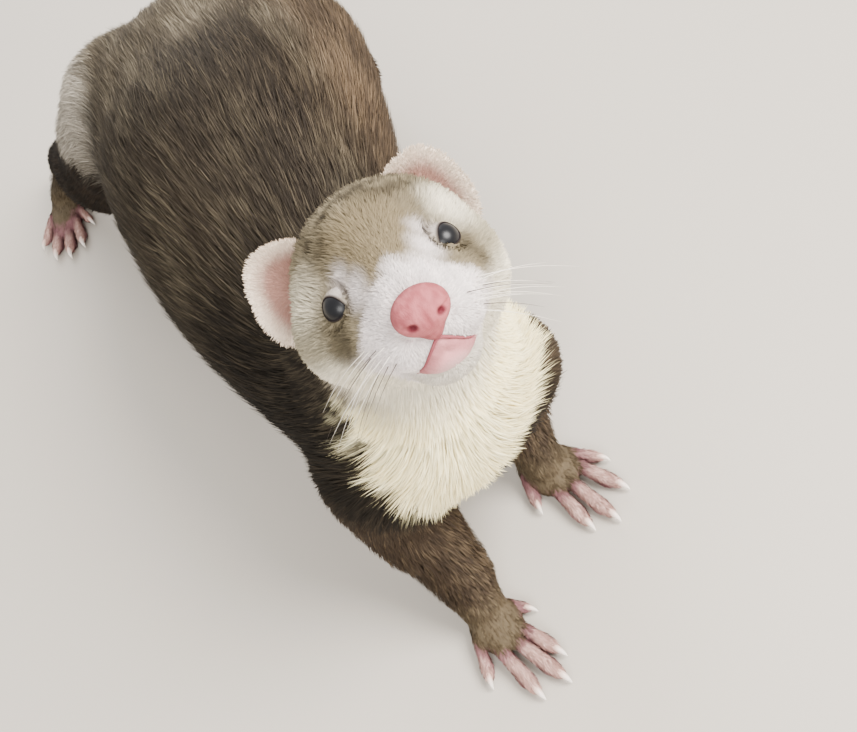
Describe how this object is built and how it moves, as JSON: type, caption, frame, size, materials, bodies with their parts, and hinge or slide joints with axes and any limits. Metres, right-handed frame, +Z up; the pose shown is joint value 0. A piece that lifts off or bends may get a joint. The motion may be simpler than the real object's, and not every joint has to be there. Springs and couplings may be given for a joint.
{
  "type": "ferret, standing and looking up, still model",
  "caption": "Life-size standing ferret with its head raised, a pale face and bib, rounded ears, clawed feet and a bushy tail laid on the floor.",
  "frame": {"origin": "centre of the bounding box on the floor that the feet rest on", "axes": "+Z up; +Y from the ferret's head towards its tail, so it faces -Y; +X to the ferret's left"},
  "size_m": [0.1634, 0.3916, 0.1479],
  "materials": {
    "face_coat": "short dense pale beige fur",
    "bib_coat": "soft cream fur",
    "back_coat": "long brown guard hair over a pale undercoat",
    "dark_coat": "dark brown fur",
    "ear_coat": "thin cream fur over pink skin",
    "pink_skin": "moist bare pink skin",
    "eye": "wet near-black gloss",
    "claw": "translucent pinkish white horn"
  },
  "bodies": {
    "root": {"head": "face_coat", "nose": "pink_skin", "lower_lip": "pink_skin", "ear_right": "ear_coat", "ear_left": "ear_coat", "eye_right": "eye", "eye_left": "eye", "neck": "bib_coat", "chest": "bib_coat", "belly": "back_coat", "hips": "back_coat", "tail_root": "dark_coat", "tail_tip": "dark_coat", "foreleg_right": "dark_coat", "foreleg_left": "dark_coat", "hindleg_right": "dark_coat", "hindleg_left": "dark_coat", "foot_right_fore": "dark_coat", "foot_left_fore": "dark_coat", "foot_right_hind": "dark_coat", "foot_left_hind": "dark_coat", "claw_right_fore_1": "claw", "claw_right_fore_2": "claw", "claw_right_fore_3": "claw", "claw_right_fore_4": "claw", "claw_right_fore_5": "claw", "claw_left_fore_1": "claw", "claw_left_fore_2": "claw", "claw_left_fore_3": "claw", "claw_left_fore_4": "claw", "claw_left_fore_5": "claw", "claw_right_hind_1": "claw", "claw_right_hind_2": "claw", "claw_right_hind_3": "claw", "claw_right_hind_4": "claw", "claw_right_hind_5": "claw", "claw_left_hind_1": "claw", "claw_left_hind_2": "claw", "claw_left_hind_3": "claw", "claw_left_hind_4": "claw", "claw_left_hind_5": "claw"}
  },
  "joints": []
}
